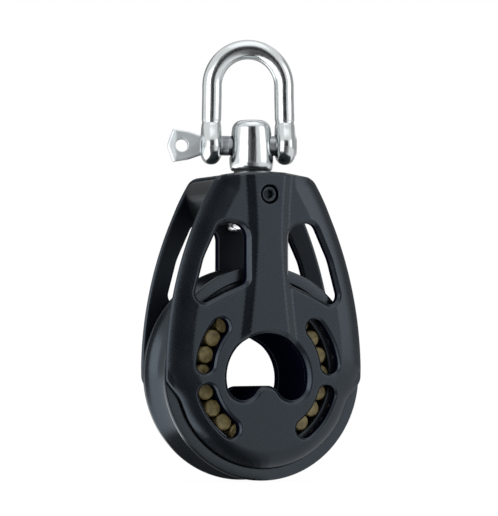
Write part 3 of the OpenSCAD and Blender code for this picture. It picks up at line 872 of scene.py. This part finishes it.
def cheek_holes(eye_rim, extra):
    """A cheek's holes as relief() takes them: eye, slots and windows, then the extra ones."""
    holes = [(eye_outline(), EDGE_STEP, eye_rim)]
    for side in (1, -1):
        for span in (UPPER_SLOT, LOWER_SLOT):
            holes.append(([(side * x, z) for x, z in slot_outline(span)], FINE_STEP, SLOT_RIM))
        holes.append(([(side * x, z) for x, z in window_outline()], EDGE_STEP, WINDOW_RIM))
    return holes + extra


def close_to(p, loop, reach):
    """True for the points in a loop's box, widened by reach."""
    return np.all((p > loop.min(axis=0) - reach) & (p < loop.max(axis=0) + reach), axis=1)


def make_cheek(name, side, eye_rim, extra, node):
    """A cheek whose outside faces -Y where side is -1, and Y where it is 1."""
    holes = cheek_holes(eye_rim, extra)
    rims = [(resample(points, step), w) for points, step, w in holes]

    def outside(p):
        height = face_height(p)
        for loop, w in rims:
            near = close_to(p, loop, w)
            height[near] -= chamfer_drop(distance(p[near], loop), w)
        edge = rim_drop(distance(p, OUTLINE), EDGE_ROUND) * smooth_step(*FLUSH_Z, p[:, 1])
        return side * (height - edge)

    def inner(p):
        height = np.full(len(p), CHEEK_IN_Y)
        for loop, w in rims:
            reach = min(w, INNER_ROUND)
            near = close_to(p, loop, reach)
            height[near] += rim_drop(distance(p[near], loop), reach)
        return side * (height + chamfer_drop(distance(p, OUTLINE), EDGE_CHAMFER))

    plate = relief(name, (cheek_outline(), EDGE_STEP, TOP_BEVEL_W), holes, outside, inner, GRID)
    # Paint 1, the cheek's inner face, and paint 2, the walls of its openings, are painted shade.
    finish(plate, [ANODISED, INNER_SHADE_PAINT, WALL_SHADE_PAINT], "block", "black_anodised", node)


def screw_places(node, head_r):
    """Centres of a node's screw heads, found by grouping its highest vertices."""
    spots = np.array([v.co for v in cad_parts[node].data.vertices]) / MM
    groups = []
    for spot in spots[spots[:, 1] > spots[:, 1].max() - HEAD_FLAT][:, [0, 2]]:
        for group in groups:
            if np.linalg.norm(group[0] - spot) < SAME_HEAD * head_r:
                group.append(spot)
                break
        else:
            groups.append([spot])
    return [(np.min(group, axis=0) + np.max(group, axis=0)) / 2 for group in groups]


lock_hole = [(circle((0, LOCK_Z), LOCK_HOLE_R), HOLE_STEP, SCREW_RIM)]
screw_holes = [(circle(at, head_r + SCREW_SEAT), HOLE_STEP, SCREW_RIM)
               for node, (head_r, _) in REAR_SCREWS.items() for at in screw_places(node, head_r)]
make_cheek("front_cheek_plate", -1, EYE_RIM, lock_hole, "front_cheek")
make_cheek("rear_cheek_plate", 1, REAR_EYE_RIM, screw_holes, "rear_cheek")


# Sheave, hub and head

def make_sheave():
    """The wheel turned from its section: sides with a shallow recess, rounded rims, a round rope groove."""
    corner = (SHEAVE_R, -RIM_Y)
    edge = math.acos((GROOVE_R - GROOVE_DEPTH) / GROOVE_R)
    mouth = (SHEAVE_R, -GROOVE_R * math.sin(edge))
    centre = (SHEAVE_R - GROOVE_DEPTH + GROOVE_R, 0)
    groove = arc(centre, GROOVE_R, math.pi + edge - GROOVE_LIP_TURN, math.pi, steps=24)
    recess_y = SIDE_RECESS - RIM_Y
    step = (RIM_BAND_R - RECESS_SLOPE, recess_y)
    half = fillet((BEARING_BORE, RIM_Y), (BEARING_BORE, -RIM_Y), corner, BORE_ROUND)
    half += [(SIDE_RECESS_R, -RIM_Y), (SIDE_RECESS_R + RECESS_SLOPE, recess_y), step]
    half += fillet(step, (RIM_BAND_R, -RIM_Y), corner, RIM_BAND_ROUND)
    half += fillet((RIM_BAND_R, -RIM_Y), corner, (SHEAVE_R, 0), RIM_ROUND)
    half += fillet(corner, mouth, groove[0], GROOVE_LIP) + groove
    profile = half + [(r, -h) for r, h in reversed(half[:-1])]
    points, faces = lathe(profile, SHEAVE_STEPS, closed=True)
    sheave = add_object("sheave_wheel", place(points, ALONG_Y), faces, sharp=50)
    finish(sheave, [SHEAVE_PAINT], "sheave", "grey_anodised", "sheave")


def make_hub():
    """A ring with the eye's outline inside and a round outside, between the cheeks."""
    inner = resample(eye_outline(), FINE_STEP)
    if area(inner) < 0:
        inner = inner[::-1]
    outer = inner / np.linalg.norm(inner, axis=1)[:, None] * HUB_R
    rings = [(inner, -CHEEK_IN_Y), (inner, CHEEK_IN_Y), (outer, CHEEK_IN_Y), (outer, -CHEEK_IN_Y)]
    n = len(inner)
    points = [(x, y, z) for loop, y in rings for x, z in loop]
    faces = [face for k in range(len(rings)) for face in band(k * n, (k + 1) % len(rings) * n, n)]
    hub = add_object("hub_ring", points, faces, sharp=50)
    # The hub's wall is given the painted shade of the holes.
    finish(hub, [WALL_SHADE_PAINT], "block", "black_anodised", "hub")


def round_head():
    """Rounds the head block's edges with a modifier, which leaves its CAD mesh as it is."""
    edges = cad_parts["head_block"].modifiers.new("edges", "BEVEL")
    edges.width, edges.segments = HEAD_ROUND * MM, HEAD_SEGMENTS
    edges.limit_method, edges.angle_limit = "ANGLE", HEAD_CORNER
    edges.harden_normals = True


make_sheave()
make_hub()
repaint(HEAD_PAINT, "head_block")
round_head()


# Swivel and shackle

def make_post():
    """The post turned from its section, with the pin's hole bored across its barrel."""
    belly, shoulder = BARREL_Z + BARREL_FOOT_RISE, POST_TOP - BARREL_CROWN
    profile = [(0, POST_FOOT), (THREAD_R - THREAD_CHAMFER, POST_FOOT), (THREAD_R, POST_FOOT + THREAD_CHAMFER)]
    profile += [(THREAD_R, NUT_TOP), (SHANK_R, NUT_TOP), (SHANK_R, BARREL_Z)]
    for a in np.linspace(-math.pi / 2, 0, 10):
        r = BARREL_FOOT_R + (BARREL_R - BARREL_FOOT_R) * math.cos(a)
        profile.append((r, belly + BARREL_FOOT_RISE * math.sin(a)))
    for t in np.linspace(0, 1, 14)[1:-1]:
        r = BARREL_R + (BARREL_SHOULDER_R - BARREL_R) * float(t) ** 2
        profile.append((r, belly + float(t) * (shoulder - belly)))
    profile += arc((BARREL_SHOULDER_R - BARREL_CROWN, shoulder), BARREL_CROWN, *CROWN_SPAN, steps=16)
    points, faces = lathe(profile + [(0, POST_TOP)], POST_STEPS, closed=False)
    post = add_object("swivel_post_turned", points, faces)
    to_pin = Matrix.Rotation(TURN, 4, "Z") @ Matrix.Translation((0, 0, PIN_Z)) @ ALONG_X
    bore(post, PIN_HOLE_R, POST_BORE_HALF, to_pin, sharp=30)
    finish(post, [STEEL], "swivel_post", "polished_steel", "swivel_post")


def bow_stations():
    """The bow's middle line from ear to ear: place and direction in X and Z, and height for the section."""
    ear = -EAR_R * np.cos(np.linspace(EAR_TIP, math.pi / 2, EAR_STATIONS))
    leg, arch = [], []
    for z in np.concatenate([ear, np.linspace(LEG_START, LEG_H, LEG_STATIONS)]):
        x = -LEG_X - (BOW_R - LEG_X) * float(smooth_step(0, LEG_H, z))
        leg.append(((x, z), (0.0, 1.0), z))
    for a in np.linspace(math.pi, 0, ARCH_STATIONS)[1:-1]:
        at = (BOW_R * math.cos(a), LEG_H + LEG_X * math.sin(a))
        arch.append((at, (math.sin(a), -math.cos(a)), LEG_H))
    return leg + arch + [((-x, z), (0.0, -1.0), z) for (x, z), _, _ in reversed(leg)]


def make_bow():
    """The bow's bar swept from ear to ear, with a section that spreads into the ears."""
    stations = bow_stations()
    points, faces = [], []
    for at, along, z in stations:
        fade = float(smooth_step(0, EAR_FADE, z))
        wide = EAR_R + (BAR_R - EAR_R) * fade
        thick = EAR_T / 2 + (BAR_R - EAR_T / 2) * fade
        if z < 0:
            wide = math.sqrt(EAR_R ** 2 - z * z)
            thick *= (1 - (-z / EAR_R) ** EAR_END_POWER) ** EAR_END_ROUND
        crease = FORGE_CREASE * math.exp(-((z - FORGE_Z) / FORGE_REACH) ** 2)
        thick, wide = thick - crease, wide - crease
        power = 2.0 + EAR_SQUARE * (1 - fade)
        across = Vector((along[1], 0, -along[0]))
        for k in range(BOW_AROUND):
            a = 2 * math.pi * k / BOW_AROUND
            c, s = math.cos(a), math.sin(a)
            u = math.copysign(abs(c) ** (2 / power), c) * thick
            v = math.copysign(abs(s) ** (2 / power), s) * wide
            points.append(tuple(Vector((at[0], 0, at[1])) + across * u + Vector((0, 1, 0)) * v))
    for k in range(len(stations) - 1):
        faces += band(k * BOW_AROUND, (k + 1) * BOW_AROUND, BOW_AROUND)
    faces.append(tuple(reversed(range(BOW_AROUND))))
    faces.append(tuple(range(len(points) - BOW_AROUND, len(points))))
    bow = add_object("shackle_bow_forged", place(points, IN_SHACKLE), faces)
    bore(bow, PIN_R + PIN_PLAY, BOW_BORE_HALF, IN_SHACKLE @ ALONG_X, sharp=38)
    finish(bow, [STEEL], "shackle", "polished_steel", "shackle_bow")


def tab_outline():
    """The tab out from the bow's ear: a neck, a waist, two corners and a blunt point."""
    waist = (TAB_LEN * TAB_WAIST_SHARE, TAB_H / 2 - TAB_WAIST_IN, TAB_WAIST_R)
    upper = [(TAB_LEN - TAB_POINT, TAB_H / 2, TAB_CORNER_R), waist, (TAB_ROOT, TAB_NECK, 0)]
    lower = [(x, -z, r) for x, z, r in reversed(upper)]
    return rounded(lower + [(TAB_LEN, 0, TAB_TIP_R)] + upper)


def make_pin():
    """The pin with its flat drilled tab, which is one forging."""
    root = -EAR_FACE - PIN_ROOT
    profile = [(0, root)] + fillet((0, root), (PIN_R, root), (PIN_R, 0), PIN_ROUND)
    # Shallow thread rings beside the ear at the tab's end
    for k in range(RING_COUNT):
        x = RING_START + RING_PITCH * k
        profile += [(PIN_R, x), (PIN_R - RING_DEPTH, x + RING_PITCH / 2)]
    profile += fillet((PIN_R, 0), (PIN_R, EAR_FACE), (0, EAR_FACE), PIN_ROUND) + [(0, EAR_FACE)]
    points, faces = lathe(profile, ROUND_STEPS, closed=False)
    shaft = add_object("shackle_pin_shaft", place(points, IN_SHACKLE @ ALONG_X), faces)
    finish(shaft, [PIN_SHADE_STEEL], "shackle_pin", "polished_steel", "shackle_pin")
    loop = [(-EAR_FACE - x, z) for x, z in tab_outline()]
    hole = circle((-EAR_FACE - TAB_HOLE_X, 0), TAB_HOLE_R)
    rims = [(resample(loop, TAB_STEP), TAB_ROUND), (resample(hole, TAB_STEP), TAB_HOLE_ROUND)]

    def thickness(p):
        drop = sum(rim_drop(distance(p, line), r) for line, r in rims)
        point = np.clip((-EAR_FACE - TAB_LEN + TAB_BEVEL_W - p[:, 0]) / TAB_BEVEL_W, 0, 1)
        return TAB_T / 2 - drop - TAB_BEVEL_DROP * point

    tab = relief("shackle_pin_tab", (loop, TAB_STEP, TAB_ROUND), [(hole, TAB_STEP, TAB_HOLE_ROUND)],
                 lambda p: -thickness(p), thickness, TAB_GRID)
    tab.data.transform(Matrix.Scale(MM, 4) @ IN_SHACKLE @ Matrix.Scale(1 / MM, 4))
    # The wall of the tab's hole gets the darker steel, painted shade.
    finish(tab, [TAB_STEEL, TAB_STEEL, PIN_SHADE_STEEL], "shackle_pin", "polished_steel", "shackle_pin")


def socket_screw(outer, flat_half, depth):
    """A screw with a six-sided socket, its end at the origin and its shank down Z.

    outer is the outside's profile of (radius, height). Gives points, faces outside and faces of the socket.
    """
    points, outside, socket = [], [], []
    last = len(outer)
    n = last + 3
    for i in range(SCREW_STEPS):
        a = 2 * math.pi * i / SCREW_STEPS
        turn = (a + math.pi / 6) % (math.pi / 3) - math.pi / 6
        hexagon = flat_half / math.cos(turn)
        ring = outer + [(flat_half * SOCKET_MOUTH, 0), (hexagon, -flat_half * SOCKET_LEAD), (hexagon, -depth)]
        points += [(*polar(r, a), z) for r, z in ring]
        j = (i + 1) % SCREW_STEPS
        rows = [(i * n + k, j * n + k, j * n + k + 1, i * n + k + 1) for k in range(n - 1)]
        outside += rows[:last]
        socket += rows[last:] + [(i * n + n - 1, j * n + n - 1, SCREW_STEPS * n)]
    points.append((0, 0, -depth - flat_half * SOCKET_CONE))
    outside.append(tuple(i * n for i in reversed(range(SCREW_STEPS))))
    return points, outside, socket


def make_lock_screw():
    """A socket set screw with a chamfered end."""
    length = LOCK_HIGH[1] - LOCK_LOW[1]
    outer = [(LOCK_R, -length), (LOCK_R, -LOCK_CHAMFER_H), (LOCK_R - LOCK_CHAMFER_W, 0)]
    points, outside, socket = socket_screw(outer, LOCK_SOCKET_HALF, LOCK_SOCKET_DEPTH)
    facing = Matrix.Translation((0, LOCK_LOW[1], LOCK_Z)) @ Matrix.Rotation(math.pi / 2, 4, "X")
    screw = add_object("lock_screw_socket", place(points, facing), outside + socket, sharp=30)
    finish(screw, [BLACK_STEEL], "lock_screw", "black_steel", "lock_screw")


def make_rear_screws(node, head_r, shank_r):
    """The socket head screws of one node, sunk in the rear cheek."""
    low, high = node_box(node)
    outer = [(shank_r, low[1] - high[1]), (shank_r, -SCREW_HEAD_T), (head_r, -SCREW_HEAD_T),
             (head_r, -SCREW_CHAMFER), (head_r - SCREW_CHAMFER, 0)]
    points, faces, paints = [], [], []
    for x, z in screw_places(node, head_r):
        more, outside, socket = socket_screw(outer, head_r * SOCKET_SHARE, SOCKET_DEPTH)
        faces += [tuple(len(points) + i for i in face) for face in outside + socket]
        # The socket faces get the near-black steel, painted shade.
        paints += [0] * len(outside) + [1] * len(socket)
        points += place(more, Matrix.Translation((x, high[1], z)) @ ALONG_Y)
    screws = add_object(node + "_sockets", points, faces, sharp=30)
    finish(screws, [SCREW_STEEL, SOCKET_SHADE_STEEL], "block", "polished_steel", node)
    screws.data.polygons.foreach_set("material_index", paints)


make_post()
make_bow()
make_pin()
make_lock_screw()
for node, sizes in REAR_SCREWS.items():
    make_rear_screws(node, *sizes)
repaint(STEEL, "swivel_nut")
repaint(WASHER_PLASTIC, "thrust_washer", "swivel_washer")
repaint(BALL_PLASTIC, "front_side_balls", "rear_side_balls")
repaint(ROLLER_PLASTIC, *[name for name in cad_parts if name.startswith("roller_")])


# Stage, light and camera

AZIMUTH = math.radians(-24.5)
ELEVATION = math.radians(-2.6)
DISTANCE = 700.0
FOCAL = 231.0
SENSOR = 36.0
AIM_RIGHT = -0.5
AIM_Z = 24.4
FLOOR_Z = -SHEAVE_R - 0.2
CLIP_METRES = (0.01, 20)
FILL = 0.5
FILL_TINT = (0.95, 0.97, 1.0, 1)
PAPER = (0.9, 0.9, 0.9, 1)
PAPER_GLOW = 1.04
PAPER_WHITE = 0.93
FLOOR_HALF = 3000.0
# Upright cards: first and last azimuth in degrees, grey level
FLAGS = {
    "camera_flag": (-26, 2, 0.03),
    "left_flag": (-44, -26, 0.15),
    "right_flag": (64, 125, 0.45),
    "back_flag": (140, 220, 0.30),
}
FLAG_LOW = -20.0
FLAG_HIGH = 900.0
FLAG_REACH = 1100.0
FLAG_STEPS = 16
CARD_NEAR = 0.5
CARD_FAR = 1000.0
# Reach and grey level of the dark card under the object, a painted shadow on the floor seen in reflections.
SHADOW_CARD_FAR = 24.0
SHADOW_CARD_LEVEL = 0.2
# Cards on the floor: first and last azimuth, nearest and farthest distance from the object's axis, level
FLOOR_CARDS = {
    "dark_floor": (-44, -14, CARD_NEAR, CARD_FAR, 0.10),
    "grey_floor": (-14, 0, CARD_NEAR, CARD_FAR, 0.25),
    "pale_floor": (0, 14, CARD_NEAR, CARD_FAR, 0.6),
    "bright_floor": (-150, -50, 26, 500, 2.3),
    "rear_floor": (100, 208, 30, CARD_FAR, 0.45),
    # A painted shadow under the object, seen only in reflections.
    "painted_shadow_floor": (-180, -44, CARD_NEAR, SHADOW_CARD_FAR, SHADOW_CARD_LEVEL),
}
CARD_Z = FLOOR_Z + 0.3
CARD_STEPS = 24
FADE_STEPS = 6
FADE_TURN = 15
# Lamps: azimuth, elevation, size, power
LAMPS = {
    "left_lamp": (-66, 5, 700, 3.0),
    "right_lamp": (44, 15, 500, 1.1),
    "top_lamp": (0, 80, 800, 1.2),
}
LAMP_REACH = 900.0
LAMP_AIM_Z = 24.0


def white_ray(tree):
    """1 for the rays that see the background: camera, glossy and transmission rays."""
    path = add_node(tree, "ShaderNodeLightPath", {})
    total = path.outputs["Is Camera Ray"]
    for name in ("Is Glossy Ray", "Is Transmission Ray"):
        inputs = {0: total, 1: path.outputs[name]}
        total = add_node(tree, "ShaderNodeMath", inputs, operation="MAXIMUM").outputs[0]
    return total


def empty_tree(owner):
    """The node tree of a world or a material, cleared."""
    owner.use_nodes = True
    owner.node_tree.nodes.clear()
    return owner.node_tree


def by_ray(tree, output, hidden, seen, share=1.0):
    """Ends a tree with two shaders: seen for that share of white_ray()'s rays, hidden for the rest."""
    part = add_node(tree, "ShaderNodeMath", {0: white_ray(tree), 1: share}, operation="MULTIPLY")
    inputs = {"Fac": part.outputs[0], 1: hidden.outputs[0], 2: seen.outputs[0]}
    mix = add_node(tree, "ShaderNodeMixShader", inputs)
    add_node(tree, output, {"Surface": mix.outputs[0]})


def make_world():
    """White to the rays that see it, a weaker fill light to all others."""
    world = bpy.data.worlds.new("studio")
    bpy.context.scene.world = world
    tree = empty_tree(world)
    fill = add_node(tree, "ShaderNodeBackground", {"Strength": FILL, "Color": FILL_TINT})
    white = add_node(tree, "ShaderNodeBackground", {"Color": (1, 1, 1, 1)})
    by_ray(tree, "ShaderNodeOutputWorld", fill, white)


def make_floor():
    """A paper floor that glows white to most of the rays that see it, so that its shadows stay faint."""
    corners = [(x * FLOOR_HALF, y * FLOOR_HALF, FLOOR_Z) for x, y in ((-1, -1), (1, -1), (1, 1), (-1, 1))]
    floor = add_object("floor", corners, [(0, 1, 2, 3)])
    paper = bpy.data.materials.new("paper")
    tree = empty_tree(paper)
    matt = add_node(tree, "ShaderNodeBsdfDiffuse", {"Color": PAPER})
    glow = add_node(tree, "ShaderNodeEmission", {"Strength": PAPER_GLOW})
    by_ray(tree, "ShaderNodeOutputMaterial", matt, glow, PAPER_WHITE)
    floor.data.materials.append(paper)


def compass(azimuth, elevation, reach):
    """A point seen from the origin at that azimuth, in the camera's sense, and elevation."""
    return Vector((math.sin(azimuth) * math.cos(elevation), -math.cos(azimuth) * math.cos(elevation),
                   math.sin(elevation))) * reach


def make_card(name, first, last, rails, steps, level):
    """A grey card that only reflections see, from azimuth first to last on two rails (distance, height)."""
    points = []
    for i in range(steps + 1):
        a = math.radians(first + (last - first) * i / steps)
        points += [(math.sin(a) * r, -math.cos(a) * r, z) for r, z in rails]
    card = add_object(name, points, [(2 * i, 2 * i + 1, 2 * i + 3, 2 * i + 2) for i in range(steps)])
    grey = bpy.data.materials.new(name)
    tree = empty_tree(grey)
    glow = add_node(tree, "ShaderNodeEmission", {"Strength": level})
    add_node(tree, "ShaderNodeOutputMaterial", {"Surface": glow.outputs[0]})
    card.data.materials.append(grey)
    for ray in ("camera", "shadow", "diffuse", "transmission"):
        setattr(card, "visible_" + ray, False)


def make_flag(name, first, last, level):
    """An upright card, curved round the object."""
    make_card(name, first, last, ((FLAG_REACH, FLAG_HIGH), (FLAG_REACH, FLAG_LOW)), FLAG_STEPS, level)


def make_floor_card(name, first, last, near, far, level):
    """A card that lies on the floor."""
    make_card(name, first, last, ((near, CARD_Z), (far, CARD_Z)), CARD_STEPS, level)


def make_fading_shadow_floor():
    """Floor cards under the object that fade the painted shadow from its level towards white."""
    for step in range(FADE_STEPS):
        first = -180 - FADE_TURN * (step + 1)
        level = SHADOW_CARD_LEVEL + (1 - SHADOW_CARD_LEVEL) * (step + 1) / (FADE_STEPS + 1)
        make_floor_card(f"fading_shadow_floor_{step}", first, first + FADE_TURN, CARD_NEAR, SHADOW_CARD_FAR, level)


def make_lamp(name, azimuth, elevation, size, power):
    """A square lamp that faces the object."""
    lamp = bpy.data.lights.new(name, "AREA")
    lamp.shape, lamp.size, lamp.energy = "SQUARE", size * MM, power
    obj = add_to_scene(name, lamp)
    aim = Vector((0, 0, LAMP_AIM_Z * MM))
    obj.location = compass(math.radians(azimuth), math.radians(elevation), LAMP_REACH * MM) + aim
    obj.rotation_euler = (aim - obj.location).to_track_quat("-Z", "Y").to_euler()


def make_camera():
    """The photo's view of the object."""
    data = bpy.data.cameras.new("camera")
    data.lens, data.sensor_width, data.sensor_height = FOCAL, SENSOR, SENSOR
    data.clip_start, data.clip_end = CLIP_METRES
    camera = add_to_scene("camera", data)
    right = Vector((math.cos(AZIMUTH), math.sin(AZIMUTH), 0))
    aim = (right * AIM_RIGHT + Vector((0, 0, AIM_Z))) * MM
    camera.location = aim + compass(AZIMUTH, ELEVATION, DISTANCE * MM)
    camera.rotation_euler = (aim - camera.location).to_track_quat("-Z", "Y").to_euler()
    bpy.context.scene.camera = camera


make_world()
make_floor()
for name, settings in FLAGS.items():
    make_flag(name, *settings)
for name, settings in FLOOR_CARDS.items():
    make_floor_card(name, *settings)
make_fading_shadow_floor()
for name, settings in LAMPS.items():
    make_lamp(name, *settings)
make_camera()
bpy.context.scene.view_settings.view_transform = "Standard"
